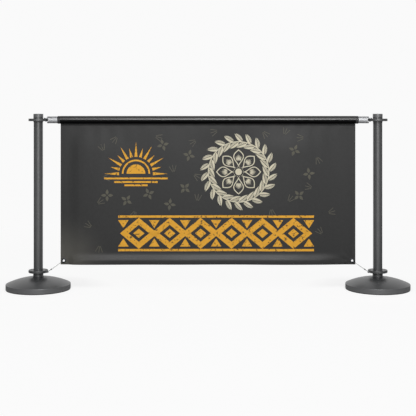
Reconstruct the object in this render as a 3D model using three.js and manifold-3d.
// Cafe barrier: two weighted posts, a crossbar that hooks into a ring on each post, and a cloth
// banner held at its lower corners by short elastic cords.
// Millimetres, +Z up. X runs along the barrier, -Y is its front, and the floor is at z = 0.
import * as THREE from 'three';
import { mergeVertices } from 'three/addons/utils/BufferGeometryUtils.js';
import Module from 'manifold-3d';

const wasm = await Module();
wasm.setup();

// Driving dimensions of the whole barrier
const barHeight = 939;
const bannerWidth = 1637;
const bannerBottomHeight = 136;

// Gaps between pieces
const fitGap = 0.3;
const cutOverrun = 5;

// How finely round pieces are divided
const baseSides = 40;
const weightSides = 24;
const ringSides = 32;
const tubeSides = 32;
const holeSides = 12;
const smallSides = 16;
const wireSides = 6;
const cordSides = 8;
const collarSides = 24;
const hexSides = 6;
const edgeSteps = 2;

// Foot: rubber pad, cast weight and domed cover
const baseRadius = 178;
const padThickness = 3;
const padWidth = 26;
const padInset = 1;
const rimHeight = 28;
const rimRound = 5;
const domeTopHeight = 69;
const domeEdgeRise = 4.5;
const domeSteps = 4;
const domeInnerSteps = 2;
const coverWall = 1.5;
const weightInset = 18;
const weightThickness = 21;
const weightBevel = 4;
const weightBossRadius = 45;
const weightBossRise = 12;
const weightRecessRadius = 24;
const weightRecessDepth = 14;

// Bolt, washer and plug that hold the tube to the weight
const boltRadius = 6;
const boltLength = 34;
const boltHeadRadius = 11;
const boltHeadHeight = 7.5;
const washerRadius = 18;
const washerThickness = 3;
const plugLength = 20;

// Post tube and what is fixed to it
const tubeRadius = 25.4;
const tubeWall = 2;
const footCollarHeight = 17.7;
const collarWall = 2.3;
const collarLip = 2;
const collarLipHeight = 2.6;
const collarEdge = 1;
const ringWidth = 28.05;
const ringThickness = 14;
const ringRound = 5.5;
const ringRoundSteps = 2;
const hubWall = 1.2;
const upperHubHeight = 3.2;
const lowerHubHeight = 6;
const hookHoleCount = 4;
const hookHoleRadius = 6.5;
const hookHoleInset = 11.75;
const ringScrewAngle = 0.75 * Math.PI;
const ringScrewRadius = 2.7;
const ringScrewLength = 11;
const ringScrewSocketRadius = 1.5;
const ringScrewSocketDepth = 3;
const capHeight = 23.5;
const capWall = 1.3;
const capTop = 4;
const capEdge = 2.2;

// Crossbar
const barWall = 1.2;
const barCollarWall = 0.9;
const barCollarShow = 15.5;
const barCollarLip = 3;
const plugScrewRadius = 2.5;
const plugScrewLength = 9;

// Sprung sleeve: its jaw closes over the ring's edge, its other end is guided in the bar's mouth
const sleeveRadius = 19;
const sleeveWall = 2;
const sleeveOverlap = 3;
const sleeveGrip = 17.5;
const sleeveEndWall = 3;
const sleeveEdge = 0.8;
const sleeveTravel = 20;
const sleeveRodGap = 0.6;
const jawGap = 1.6;
const jawDepth = 7.75;

// Hook casting, rod and anchor
const hookReach = 82;
const pinGap = 1;
const pinTaper = 1.3;
const pinReach = 3;
const tongueThickness = 4;
const tongueInset = 1.3;
const hookBodyInset = 1.5;
const guideLength = 12;
const hookNeckRadius = 9;
const rodRadius = 5;
const rodGrip = 15;
const springPressedLength = 30;
const springRadius = 12.5;
const springWireRadius = 0.9;
const springTurns = 6;
const springTurnSteps = 8;
const springSides = 5;
const anchorLength = 16;
const nutRadius = 9.8;
const nutHeight = 8;
const rodTail = 3;

// Banner
const clothThickness = 0.8;
const pocketGap = 0.5;
const pocketSteps = 16;
const weldHeight = 28;
const hemMargin = 6;
const bannerColumns = 14;
const bannerRows = 6;
const foldDepth = 6;
const rollDepth = 5;
const rollHeight = 58;
const rollSpread = 46;
const foldMargin = 70;
const foldFadeHeight = 160;
const foldWaves = 1.5;
const foldWaveShare = 0.45;

// Eyelets and elastic cords
const eyeletInset = 17.5;
const eyeletRise = 21.5;
const eyeletHoleRadius = 5.5;
const eyeletWall = 0.9;
const eyeletFlangeWidth = 6.1;
const eyeletFlange = 0.9;
const hookWireRadius = 1.3;
const cordRadius = 1.75;
const cordSteps = 7;
const crimpRadius = 2.8;
const ringCrimpLength = 9;
const eyeletCrimpLength = 7.5;
const eyeletHookReach = 12;
const eyeletHookTip = 9;
const eyeletHookBend = 2.4;
const eyeletHookRise = 5.4;
const eyeletHookLeadIn = 3.9;
const ringHookGap = 1.95;
const ringHookTip = 4;
const ringHookShank = 26;
const ringHookRise = 6.5;
const ringHookBottom = 1.1;
const ringHookLeadIn = 3.9;
const ringHookBendShares = [[0.08, 0.85], [0.3, 1], [0.6, 1], [0.92, 0.75]];
const wireSteps = 18;

// Places worked out from the driving dimensions
const weightRadius = baseRadius - weightInset;
const postBore = tubeRadius + fitGap;
const collarRadius = postBore + collarWall;
const collarLipRadius = collarRadius + collarLip;
const hubRadius = postBore + hubWall;
const capRadius = postBore + capWall;
const ringRadius = postBore + ringWidth;
const hookHolePitchRadius = ringRadius - hookHoleInset;
const halfRing = ringThickness / 2;
const pinX = bannerWidth / 2 + hookReach;
const postX = pinX + hookHolePitchRadius;
const collarBottom = domeHeight(postBore) + fitGap;
const collarTop = collarBottom + footCollarHeight;
const lowerRingHeight = collarTop + fitGap + lowerHubHeight + halfRing;
const capBottom = barHeight + halfRing + upperHubHeight + fitGap;
const postHeight = capBottom + capHeight;
const sleeveInner = sleeveRadius - sleeveWall;
const sleeveBore = sleeveRadius + fitGap;
const barRadius = sleeveBore + barWall;
const barCollarRadius = barRadius + barCollarWall;
const barMouth = bannerWidth / 2 + barCollarShow;
const barEnd = barMouth - barCollarLip - fitGap;
const pinRadius = hookHoleRadius - pinGap;
const sleeveStart = hookHoleInset - sleeveOverlap;
const sleeveEnd = pinX - barMouth + sleeveGrip;
const jawEnd = sleeveStart + jawDepth;
const hookBodyStart = jawEnd + hookBodyInset;
const hookBodyEnd = sleeveEnd - sleeveEndWall - fitGap;
const springLength = sleeveTravel + springPressedLength;
const springStart = sleeveEnd + fitGap;
const anchorStart = springStart + springLength + fitGap;
const anchorEnd = anchorStart + anchorLength;
const weightTop = padThickness + fitGap + weightThickness + weightBossRise;
const tubeBottom = weightTop + fitGap;
const tubeTop = postHeight - capTop - fitGap;
const washerTop = padThickness + fitGap + weightRecessDepth - fitGap;
const pocketInner = barRadius + pocketGap;
const pocketRadius = pocketInner + clothThickness;
const webTop = barHeight - pocketRadius;
const halfCloth = clothThickness / 2;
const eyeletBarrelRadius = eyeletHoleRadius + eyeletWall;
const eyeletFlangeRadius = eyeletBarrelRadius + eyeletFlangeWidth;
const hemHeight = eyeletRise + eyeletFlangeRadius + hemMargin;
const eyeletX = bannerWidth / 2 - eyeletInset;
const eyeletHeight = bannerBottomHeight + eyeletRise;
const ringHookReach = hookHoleInset + ringHookGap + hookWireRadius;

// Finishes
const powderCoat = finish('#3c3d3f', 0.5, 0.35);
const castIron = finish('#2e2e2f', 0.8, 0.6);
const rubber = finish('#161616', 0.9, 0);
const zincSteel = finish('#a9adb0', 0.4, 1);
const chrome = finish('#d6d8da', 0.08, 1);
const blackAluminium = finish('#1b1b1d', 0.35, 0.8);
const blackPlastic = finish('#17171a', 0.45, 0);
const blackNickel = finish('#303235', 0.3, 1);
const bannerCloth = finish('#3b3b3c', 0.6, 0);
const elastic = finish('#c9cac9', 0.8, 0);

function finish(colour, roughness, metalness) {
  return new THREE.MeshStandardMaterial({ color: colour, roughness, metalness });
}

// Merges shared corners, drops empty triangles and turns the faces outwards
function closed(geometry) {
  const bare = geometry.clone();
  bare.deleteAttribute('normal');
  bare.deleteAttribute('uv');
  const merged = mergeVertices(bare);
  const index = [...merged.index.array];
  const kept = [];
  for (let i = 0; i < index.length; i += 3) {
    const [a, b, c] = index.slice(i, i + 3);
    if (a !== b && b !== c && c !== a) kept.push(a, b, c);
  }
  merged.setIndex(kept);
  if (volumeOf(merged) < 0) merged.setIndex(kept.reverse());
  return merged;
}

function volumeOf(geometry) {
  const place = geometry.attributes.position;
  const index = geometry.index.array;
  const corners = [new THREE.Vector3(), new THREE.Vector3(), new THREE.Vector3()];
  let total = 0;
  for (let i = 0; i < index.length; i += 3) {
    corners.forEach((corner, k) => corner.fromBufferAttribute(place, index[i + k]));
    total += corners[0].dot(corners[1].clone().cross(corners[2]));
  }
  return total;
}

function solid(geometry) {
  const ready = closed(geometry);
  const vertProperties = new Float32Array(ready.attributes.position.array);
  const triVerts = new Uint32Array(ready.index.array);
  return new wasm.Manifold(new wasm.Mesh({ numProp: 3, vertProperties, triVerts }));
}

function geometryOf(body) {
  const mesh = body.getMesh();
  const geometry = new THREE.BufferGeometry();
  geometry.setAttribute('position', new THREE.BufferAttribute(mesh.vertProperties, 3));
  geometry.setIndex(new THREE.BufferAttribute(mesh.triVerts, 1));
  return geometry;
}

// A body turned about the upright axis, from [radius, height] points
function turned(points, sides) {
  const profile = points.map(([radius, height]) => new THREE.Vector2(radius, height));
  const geometry = new THREE.LatheGeometry(profile, sides);
  geometry.rotateX(Math.PI / 2);
  return closed(geometry);
}

// A turned ring whose profile closes on itself
function turnedRing(points, sides) {
  return turned([...points, points[0]], sides);
}

// Lays an upright body along X, its heights becoming distances along +X
function alongX(geometry) {
  return geometry.rotateY(Math.PI / 2);
}

function uprightRod(radius, bottom, top, sides) {
  const rod = new THREE.CylinderGeometry(radius, radius, top - bottom, sides);
  rod.rotateX(Math.PI / 2);
  rod.translate(0, 0, (top + bottom) / 2);
  return rod;
}

// Points on a quarter circle or other arc, as [radius, height]
function arc(centreRadius, centreHeight, size, from, to, steps) {
  const points = [];
  for (let i = 0; i <= steps; i += 1) {
    const angle = from + ((to - from) * i) / steps;
    points.push([centreRadius + size * Math.cos(angle), centreHeight + size * Math.sin(angle)]);
  }
  return points;
}

// A round section pushed along a path
function alongPath(path, radius, sides, steps) {
  const corners = arc(0, 0, radius, 0, 2 * Math.PI, sides).slice(1);
  const section = new THREE.Shape(corners.map(([x, y]) => new THREE.Vector2(x, y)));
  return closed(new THREE.ExtrudeGeometry(section, { steps, extrudePath: path, bevelEnabled: false }));
}

// A round wire along a smooth curve through the points
function wire(points, radius, sides, steps) {
  const path = new THREE.CatmullRomCurve3(points, false, 'centripetal');
  return alongPath(path, radius, sides, steps);
}

// A plain round bar between two points
function strut(from, to, radius, sides, steps) {
  return alongPath(new THREE.LineCurve3(from, to), radius, sides, steps);
}

const barrier = new THREE.Group();

function add(parent, name, geometry, material) {
  const mesh = new THREE.Mesh(geometry, material);
  mesh.name = name;
  parent.add(mesh);
}

// Foot

function floorPad() {
  const outer = baseRadius - padInset;
  const inner = outer - padWidth;
  return turnedRing([[inner, 0], [outer, 0], [outer, padThickness], [inner, padThickness]], baseSides);
}

// The dome is a spherical cap from the rim's rounded edge up to its top
function domeHeight(radius) {
  const edgeRadius = baseRadius - rimRound;
  const rise = domeTopHeight - rimHeight - domeEdgeRise;
  const sphereRadius = (edgeRadius * edgeRadius + rise * rise) / (2 * rise);
  const drop = sphereRadius - Math.sqrt(sphereRadius * sphereRadius - radius * radius);
  return domeTopHeight - drop;
}

function domeProfile(inset, steps) {
  const edgeRadius = baseRadius - rimRound;
  const points = [];
  for (let i = 0; i <= steps; i += 1) {
    const radius = edgeRadius + ((postBore - edgeRadius) * i) / steps;
    points.push([radius, domeHeight(radius) - inset]);
  }
  return points;
}

function baseCover() {
  const bottom = padThickness + fitGap;
  const innerRim = baseRadius - coverWall;
  const outside = [
    [baseRadius, bottom],
    ...arc(baseRadius - rimRound, rimHeight, rimRound, 0, Math.PI / 4, edgeSteps),
    ...domeProfile(0, domeSteps),
  ];
  const inside = [
    ...domeProfile(coverWall, domeInnerSteps).reverse(),
    [innerRim, rimHeight - coverWall],
    [innerRim, bottom],
  ];
  return turnedRing([...outside, ...inside], baseSides);
}

function baseWeight() {
  const bottom = padThickness + fitGap;
  const top = bottom + weightThickness;
  const hole = boltRadius + fitGap;
  return turnedRing([
    [hole, bottom + weightRecessDepth],
    [weightRecessRadius, bottom + weightRecessDepth],
    [weightRecessRadius, bottom],
    [weightRadius, bottom],
    [weightRadius, top - weightBevel],
    [weightRadius - weightBevel, top],
    [weightBossRadius, top],
    [weightBossRadius, weightTop],
    [hole, weightTop],
  ], weightSides);
}

function baseWasher() {
  const hole = boltRadius + fitGap;
  const bottom = washerTop - washerThickness;
  return turnedRing(
    [[hole, bottom], [washerRadius, bottom], [washerRadius, washerTop], [hole, washerTop]],
    smallSides,
  );
}

function baseBolt() {
  const headTop = washerTop - washerThickness - fitGap;
  const head = uprightRod(boltHeadRadius, headTop - boltHeadHeight, headTop, hexSides);
  const shank = uprightRod(boltRadius, headTop - cutOverrun, headTop + boltLength, smallSides);
  return geometryOf(solid(head).add(solid(shank)));
}

function tubePlug() {
  const outer = tubeRadius - tubeWall - fitGap;
  const hole = boltRadius + fitGap;
  const top = tubeBottom + plugLength;
  return turnedRing([[hole, tubeBottom], [outer, tubeBottom], [outer, top], [hole, top]], smallSides);
}

// Post

function postTube() {
  const inner = tubeRadius - tubeWall;
  return turnedRing(
    [[inner, tubeBottom], [tubeRadius, tubeBottom], [tubeRadius, tubeTop], [inner, tubeTop]],
    tubeSides,
  );
}

function footCollar() {
  return turnedRing([
    [postBore, collarBottom],
    [collarLipRadius, collarBottom],
    [collarLipRadius, collarBottom + collarLipHeight - collarEdge],
    [collarLipRadius - collarEdge, collarBottom + collarLipHeight],
    [collarRadius, collarBottom + collarLipHeight],
    [collarRadius, collarTop - collarEdge],
    [collarRadius - collarEdge, collarTop],
    [postBore, collarTop],
  ], tubeSides);
}

// Disc with rounded edge, hub above and below, four hook holes and a radial screw hole
function hookRing() {
  const edge = ringRadius - ringRound;
  const flat = halfRing - ringRound;
  const profile = [
    [postBore, -halfRing - lowerHubHeight],
    [hubRadius, -halfRing - lowerHubHeight],
    [hubRadius, -halfRing],
    ...arc(edge, -flat, ringRound, -Math.PI / 2, 0, ringRoundSteps),
    ...arc(edge, flat, ringRound, 0, Math.PI / 2, ringRoundSteps),
    [hubRadius, halfRing],
    [hubRadius, halfRing + upperHubHeight],
    [postBore, halfRing + upperHubHeight],
  ];
  let ring = solid(turnedRing(profile, ringSides));
  for (let i = 0; i < hookHoleCount; i += 1) {
    const angle = (2 * Math.PI * i) / hookHoleCount;
    const hole = uprightRod(hookHoleRadius, -halfRing - cutOverrun, halfRing + cutOverrun, holeSides);
    hole.translate(hookHolePitchRadius * Math.cos(angle), hookHolePitchRadius * Math.sin(angle), 0);
    ring = ring.subtract(solid(hole));
  }
  const drill = alongX(uprightRod(ringScrewRadius + fitGap, tubeRadius, ringRadius + cutOverrun, holeSides));
  drill.rotateZ(ringScrewAngle);
  return geometryOf(ring.subtract(solid(drill)));
}

function ringScrew() {
  const end = postBore + ringScrewLength;
  const body = solid(uprightRod(ringScrewRadius, postBore, end, holeSides));
  const socketStart = end - ringScrewSocketDepth;
  const socket = solid(uprightRod(ringScrewSocketRadius, socketStart, end + cutOverrun, hexSides));
  const screw = alongX(geometryOf(body.subtract(socket)));
  return screw.rotateZ(ringScrewAngle);
}

function postCap() {
  return turned([
    [0, postHeight - capTop],
    [postBore, postHeight - capTop],
    [postBore, capBottom],
    [capRadius, capBottom],
    [capRadius, postHeight - capEdge],
    [capRadius - capEdge, postHeight],
    [0, postHeight],
  ], tubeSides);
}

function post(side, x) {
  const group = new THREE.Group();
  group.position.set(x, 0, 0);
  add(group, `${side}_floor_pad`, floorPad(), rubber);
  add(group, `${side}_base_weight`, baseWeight(), castIron);
  add(group, `${side}_base_cover`, baseCover(), powderCoat);
  add(group, `${side}_base_bolt`, baseBolt(), zincSteel);
  add(group, `${side}_base_washer`, baseWasher(), zincSteel);
  add(group, `${side}_tube_plug`, tubePlug(), zincSteel);
  add(group, `${side}_post_tube`, postTube(), powderCoat);
  add(group, `${side}_foot_collar`, footCollar(), powderCoat);
  add(group, `${side}_post_cap`, postCap(), powderCoat);
  for (const [level, height] of [['lower', lowerRingHeight], ['upper', barHeight]]) {
    const shelf = new THREE.Group();
    shelf.position.z = height;
    add(shelf, `${side}_${level}_ring`, hookRing(), powderCoat);
    add(shelf, `${side}_${level}_ring_screw`, ringScrew(), zincSteel);
    group.add(shelf);
  }
  barrier.add(group);
}

// Crossbar ends, built with the hook pin's axis at x = 0 and the bar along +X at z = 0

function sleeve() {
  const tube = alongX(turnedRing([
    [sleeveInner, sleeveStart],
    [sleeveRadius - sleeveEdge, sleeveStart],
    [sleeveRadius, sleeveStart + sleeveEdge],
    [sleeveRadius, sleeveEnd],
    [rodRadius + sleeveRodGap, sleeveEnd],
    [rodRadius + sleeveRodGap, sleeveEnd - sleeveEndWall],
    [sleeveInner, sleeveEnd - sleeveEndWall],
  ], tubeSides));
  const slotLength = jawDepth + cutOverrun;
  const jaw = new THREE.BoxGeometry(slotLength, 2 * (sleeveRadius + cutOverrun), ringThickness + 2 * jawGap);
  jaw.translate(jawEnd - slotLength / 2, 0, 0);
  return geometryOf(solid(tube).subtract(solid(jaw)));
}

// Guide body in the sleeve, a tongue over the ring and a pin down through its hole
function hook() {
  const outer = sleeveInner - fitGap;
  const hole = rodRadius + fitGap;
  const body = alongX(turned([
    [0, hookBodyStart],
    [outer, hookBodyStart],
    [outer, hookBodyStart + guideLength],
    [hookNeckRadius, hookBodyStart + guideLength],
    [hookNeckRadius, hookBodyEnd - guideLength],
    [outer, hookBodyEnd - guideLength],
    [outer, hookBodyEnd],
    [hole, hookBodyEnd],
    [hole, hookBodyEnd - rodGrip],
    [0, hookBodyEnd - rodGrip],
  ], smallSides));
  const under = halfRing + fitGap;
  const over = under + tongueThickness;
  const tongueHalfWidth = Math.sqrt(outer * outer - over * over) - tongueInset;
  const tongueEnd = hookBodyStart + guideLength / 2;
  const tongue = new THREE.BoxGeometry(tongueEnd, 2 * tongueHalfWidth, tongueThickness);
  tongue.translate(tongueEnd / 2, 0, (under + over) / 2);
  const nose = uprightRod(tongueHalfWidth, under, over, smallSides);
  const pin = turned([
    [0, -halfRing - pinReach],
    [pinRadius - pinTaper, -halfRing - pinReach],
    [pinRadius, -halfRing],
    [pinRadius, over - tongueThickness / 2],
    [0, over - tongueThickness / 2],
  ], holeSides);
  return geometryOf(solid(body).add(solid(tongue)).add(solid(nose)).add(solid(pin)));
}

function hookRod() {
  const start = hookBodyEnd - rodGrip + fitGap;
  const end = anchorEnd + fitGap + nutHeight + rodTail;
  return alongX(uprightRod(rodRadius, start, end, holeSides));
}

// Spring with evenly spaced turns between the sleeve's end and the anchor plug
function sleeveSpring() {
  const span = springLength - 2 * springWireRadius;
  const points = [];
  const count = springTurns * springTurnSteps;
  for (let i = 0; i <= count; i += 1) {
    const angle = (2 * Math.PI * i) / springTurnSteps;
    const along = springStart + springWireRadius + (span * i) / count;
    points.push(new THREE.Vector3(along, springRadius * Math.cos(angle), springRadius * Math.sin(angle)));
  }
  return wire(points, springWireRadius, springSides, count);
}

function barPlug() {
  const outer = barRadius - barWall - fitGap;
  const hole = rodRadius + fitGap;
  const plug = alongX(turnedRing(
    [[hole, anchorStart], [outer, anchorStart], [outer, anchorEnd], [hole, anchorEnd]],
    smallSides,
  ));
  return geometryOf(solid(plug).subtract(solid(plugScrewHole())));
}

// The screw comes up from below, where the banner's pocket covers it
function plugScrewHole() {
  const hole = uprightRod(plugScrewRadius + fitGap, -barRadius - cutOverrun,
    -barRadius + plugScrewLength + fitGap, holeSides);
  return hole.translate((anchorStart + anchorEnd) / 2, 0, 0);
}

function plugScrew() {
  const screw = uprightRod(plugScrewRadius, -barRadius, -barRadius + plugScrewLength, holeSides);
  return closed(screw.translate((anchorStart + anchorEnd) / 2, 0, 0));
}

function rodNut() {
  const start = anchorEnd + fitGap;
  const end = start + nutHeight;
  const nut = solid(uprightRod(nutRadius, start, end, hexSides));
  const bore = solid(uprightRod(rodRadius + fitGap, start - cutOverrun, end + cutOverrun, holeSides));
  return alongX(geometryOf(nut.subtract(bore)));
}

// Collar over the bar's mouth, with a lip that guides the sleeve
function barCollar() {
  const face = pinX - barMouth;
  const skirtEnd = pinX - bannerWidth / 2 - fitGap;
  const seat = barRadius + fitGap;
  const round = barCollarRadius - sleeveBore;
  return alongX(turnedRing([
    ...arc(sleeveBore, face + round, round, -Math.PI / 2, 0, edgeSteps),
    [barCollarRadius, skirtEnd],
    [seat, skirtEnd],
    [seat, face + barCollarLip],
    [sleeveBore, face + barCollarLip],
  ], collarSides));
}

function barEndParts(side, turn) {
  const group = new THREE.Group();
  group.position.set(-pinX * Math.cos(turn), 0, barHeight);
  group.rotation.z = turn;
  add(group, `${side}_sleeve`, sleeve(), chrome);
  add(group, `${side}_hook`, hook(), zincSteel);
  add(group, `${side}_hook_rod`, hookRod(), zincSteel);
  add(group, `${side}_sleeve_spring`, sleeveSpring(), zincSteel);
  add(group, `${side}_bar_plug`, barPlug(), blackPlastic);
  add(group, `${side}_plug_screw`, plugScrew(), zincSteel);
  add(group, `${side}_rod_nut`, rodNut(), zincSteel);
  add(group, `${side}_bar_collar`, barCollar(), blackPlastic);
  barrier.add(group);
}

function barTube() {
  const inner = barRadius - barWall;
  const tube = alongX(turnedRing(
    [[inner, -barEnd], [barRadius, -barEnd], [barRadius, barEnd], [inner, barEnd]],
    tubeSides,
  ));
  let bar = solid(tube);
  for (const way of [-1, 1]) {
    const hole = plugScrewHole().translate(-pinX, 0, 0);
    if (way > 0) hole.rotateZ(Math.PI);
    bar = bar.subtract(solid(hole));
  }
  return geometryOf(bar).translate(0, 0, barHeight);
}

// Banner

function smooth(value) {
  const t = Math.min(Math.max(value, 0), 1);
  return t * t * (3 - 2 * t);
}

// How far the cloth stands back from its plane: shallow upright waves, and a soft roll above the
// hem. Both die out at the sides, where the cords hold the corners flat, and at the bar.
function foldOffset(x, z) {
  const fromSide = bannerWidth / 2 - Math.abs(x);
  const sideFade = smooth((fromSide - 2 * eyeletInset) / foldMargin);
  const topFade = smooth((webTop - z) / foldFadeHeight);
  const phase = (2 * Math.PI * foldWaves * x) / bannerWidth;
  const waves = Math.cos(phase) * (1 - foldWaveShare) + Math.sin(2 * phase) * foldWaveShare;
  const fromRoll = (z - bannerBottomHeight - rollHeight) / rollSpread;
  const roll = Math.exp(-fromRoll * fromRoll);
  return sideFade * topFade * (foldDepth * waves - rollDepth * roll);
}

// Section of the cloth across the bar: front face upwards, round the pocket and down the back
function clothSection() {
  const front = [];
  const back = [];
  const weldBottom = webTop - weldHeight;
  const hemTop = bannerBottomHeight + hemHeight;
  const rowSpan = weldBottom - hemTop;
  front.push([-halfCloth, bannerBottomHeight]);
  back.unshift([halfCloth + clothThickness, bannerBottomHeight]);
  back.unshift([halfCloth + clothThickness, hemTop]);
  for (let i = 0; i <= bannerRows; i += 1) {
    const z = hemTop + (rowSpan * i) / bannerRows;
    front.push([-halfCloth, z]);
    back.unshift([halfCloth, z]);
  }
  back.unshift([halfCloth + clothThickness, weldBottom]);
  const frontAngle = Math.asin(halfCloth / pocketRadius);
  const backAngle = Math.asin((halfCloth + clothThickness) / pocketRadius);
  const start = 1.5 * Math.PI - frontAngle;
  const end = -0.5 * Math.PI + backAngle;
  const pocket = arc(0, barHeight, pocketRadius, start, end, pocketSteps);
  return [...front, ...pocket, ...back];
}

// A flat column at each side for the eyelets, and even columns between them
function columnPlaces() {
  const half = bannerWidth / 2;
  const inner = half - 2 * eyeletInset;
  const places = [-half];
  for (let i = 0; i <= bannerColumns; i += 1) {
    places.push(inner * ((2 * i) / bannerColumns - 1));
  }
  return [...places, half];
}

// The cloth is one closed skin swept along X in columns, each shifted by the folds. The diagonals
// of its front and back run the same way, so that it is equally thick where it twists.
function banner() {
  const outline = clothSection();
  const bore = arc(0, barHeight, pocketInner, 0, 2 * Math.PI, pocketSteps).slice(1);
  const ring = [...outline, ...bore];
  const columns = columnPlaces();
  const places = [];
  const faces = [];
  for (const x of columns) {
    for (const [y, z] of ring) {
      const shift = z < webTop ? foldOffset(x, z) : 0;
      places.push(x, y + shift, z);
    }
  }
  const stitch = (first, count) => {
    for (let column = 0; column < columns.length - 1; column += 1) {
      for (let i = 0; i < count; i += 1) {
        const a = column * ring.length + first + i;
        const b = column * ring.length + first + ((i + 1) % count);
        const [c, d] = [b + ring.length, a + ring.length];
        if (i < count / 2) faces.push(a, b, c, a, c, d);
        else faces.push(a, b, d, b, c, d);
      }
    }
  };
  stitch(0, outline.length);
  stitch(outline.length, bore.length);
  const edge = outline.map(([y, z]) => new THREE.Vector2(y, z));
  const hole = bore.map(([y, z]) => new THREE.Vector2(y, z));
  const caps = THREE.ShapeUtils.triangulateShape(edge, [hole]);
  const last = (columns.length - 1) * ring.length;
  for (const [a, b, c] of caps) {
    faces.push(a, b, c, last + a, last + c, last + b);
  }
  const geometry = new THREE.BufferGeometry();
  geometry.setAttribute('position', new THREE.BufferAttribute(new Float32Array(places), 3));
  geometry.setIndex(faces);
  let cloth = solid(geometry);
  for (const way of [-1, 1]) {
    cloth = cloth.subtract(solid(acrossY(eyeletBarrelRadius + fitGap, -cutOverrun, cutOverrun, way)));
  }
  return geometryOf(cloth);
}

// Eyelets and elastic cords; way is -1 at the left corner and 1 at the right

function acrossY(radius, front, back, way) {
  const rod = new THREE.CylinderGeometry(radius, radius, back - front, holeSides);
  rod.translate(0, (front + back) / 2, 0);
  return rod.translate(way * eyeletX, 0, eyeletHeight);
}

// Turned about Y: [radius, depth] points at an eyelet, depth measured towards the back
function atEyelet(points, way) {
  const ring = turnedRing(points, smallSides);
  ring.rotateX(-Math.PI / 2);
  return ring.translate(way * eyeletX, 0, eyeletHeight);
}

function eyelet(way) {
  const face = -halfCloth - fitGap;
  const back = halfCloth + clothThickness + fitGap;
  return atEyelet([
    [eyeletHoleRadius, face - eyeletFlange],
    [eyeletFlangeRadius, face - eyeletFlange / 2],
    [eyeletFlangeRadius, face],
    [eyeletBarrelRadius, face],
    [eyeletBarrelRadius, back],
    [eyeletHoleRadius, back],
  ], way);
}

function eyeletWasher(way) {
  const face = halfCloth + clothThickness + fitGap;
  const inner = eyeletBarrelRadius + fitGap;
  return atEyelet([
    [inner, face],
    [eyeletFlangeRadius, face],
    [eyeletFlangeRadius, face + eyeletFlange / 2],
    [inner, face + eyeletFlange],
  ], way);
}

// Unit vector from the eyelet towards the ring's hook, in the plane of the banner
function pullDirection(way) {
  const toRing = new THREE.Vector3(
    way * (pinX - ringHookShank - eyeletX),
    0,
    lowerRingHeight + ringHookRise - eyeletHeight,
  );
  return toRing.normalize();
}

function eyeletPoint(way, along, depth) {
  const pull = pullDirection(way);
  return new THREE.Vector3(way * eyeletX + pull.x * along, depth, eyeletHeight + pull.z * along);
}

function cordEnds(way) {
  const eyeletEnd = eyeletPoint(way, eyeletHookReach, eyeletHookRise);
  const shankX = way * (pinX - ringHookShank);
  const ringEnd = new THREE.Vector3(shankX, 0, lowerRingHeight + ringHookRise);
  return { eyeletEnd, ringEnd, line: ringEnd.clone().sub(eyeletEnd).normalize() };
}

function eyeletHook(way) {
  const { eyeletEnd, line } = cordEnds(way);
  const front = -halfCloth - fitGap - eyeletFlange - fitGap - hookWireRadius;
  const back = halfCloth + clothThickness + eyeletFlange + 2 * fitGap + hookWireRadius;
  const bend = eyeletHookBend;
  const points = [
    eyeletPoint(way, eyeletHookTip, front),
    eyeletPoint(way, 2 * bend, front),
    eyeletPoint(way, bend, front / 2),
    eyeletPoint(way, bend, back / 2),
    eyeletPoint(way, 2 * bend, back),
    eyeletEnd.clone().addScaledVector(line, -eyeletHookLeadIn),
    eyeletEnd.clone().addScaledVector(line, -fitGap),
  ];
  return wire(points, hookWireRadius, wireSides, wireSteps);
}

function eyeletCrimp(way) {
  const { eyeletEnd, line } = cordEnds(way);
  const to = eyeletEnd.clone().addScaledVector(line, eyeletCrimpLength);
  return strut(eyeletEnd, to, crimpRadius, smallSides, 1);
}

function elasticCord(way) {
  const { eyeletEnd, ringEnd, line } = cordEnds(way);
  const from = eyeletEnd.clone().addScaledVector(line, eyeletCrimpLength + fitGap);
  const to = ringEnd.clone().addScaledVector(line, -ringCrimpLength - fitGap);
  return strut(from, to, cordRadius, cordSides, cordSteps);
}

function ringCrimp(way) {
  const { ringEnd, line } = cordEnds(way);
  const from = ringEnd.clone().addScaledVector(line, -ringCrimpLength);
  return strut(from, ringEnd, crimpRadius, smallSides, 1);
}

// Wire hook: up into the ring's hole, under the ring's edge and out to the crimp
function ringHook(way) {
  const { ringEnd, line } = cordEnds(way);
  const under = -halfRing - hookWireRadius - ringHookBottom;
  const at = (inboard, rise) => new THREE.Vector3(way * (pinX - inboard), 0, lowerRingHeight + rise);
  const points = [
    at(0, ringHookTip),
    at(0, -halfRing / 2),
    ...ringHookBendShares.map(([out, down]) => at(ringHookReach * out, under * down)),
    at(ringHookReach, 0),
    ringEnd.clone().addScaledVector(line, ringHookLeadIn),
    ringEnd.clone().addScaledVector(line, fitGap),
  ];
  return wire(points, hookWireRadius, wireSides, wireSteps);
}

function corner(side, way) {
  add(barrier, `${side}_eyelet`, eyelet(way), blackNickel);
  add(barrier, `${side}_eyelet_washer`, eyeletWasher(way), blackNickel);
  add(barrier, `${side}_eyelet_hook`, eyeletHook(way), zincSteel);
  add(barrier, `${side}_eyelet_crimp`, eyeletCrimp(way), blackNickel);
  add(barrier, `${side}_elastic_cord`, elasticCord(way), elastic);
  add(barrier, `${side}_ring_crimp`, ringCrimp(way), blackNickel);
  add(barrier, `${side}_ring_hook`, ringHook(way), zincSteel);
}

post('left', -postX);
post('right', postX);
barEndParts('left', 0);
barEndParts('right', Math.PI);
add(barrier, 'bar_tube', barTube(), blackAluminium);
add(barrier, 'banner', banner(), bannerCloth);
corner('left', -1);
corner('right', 1);

export default barrier;
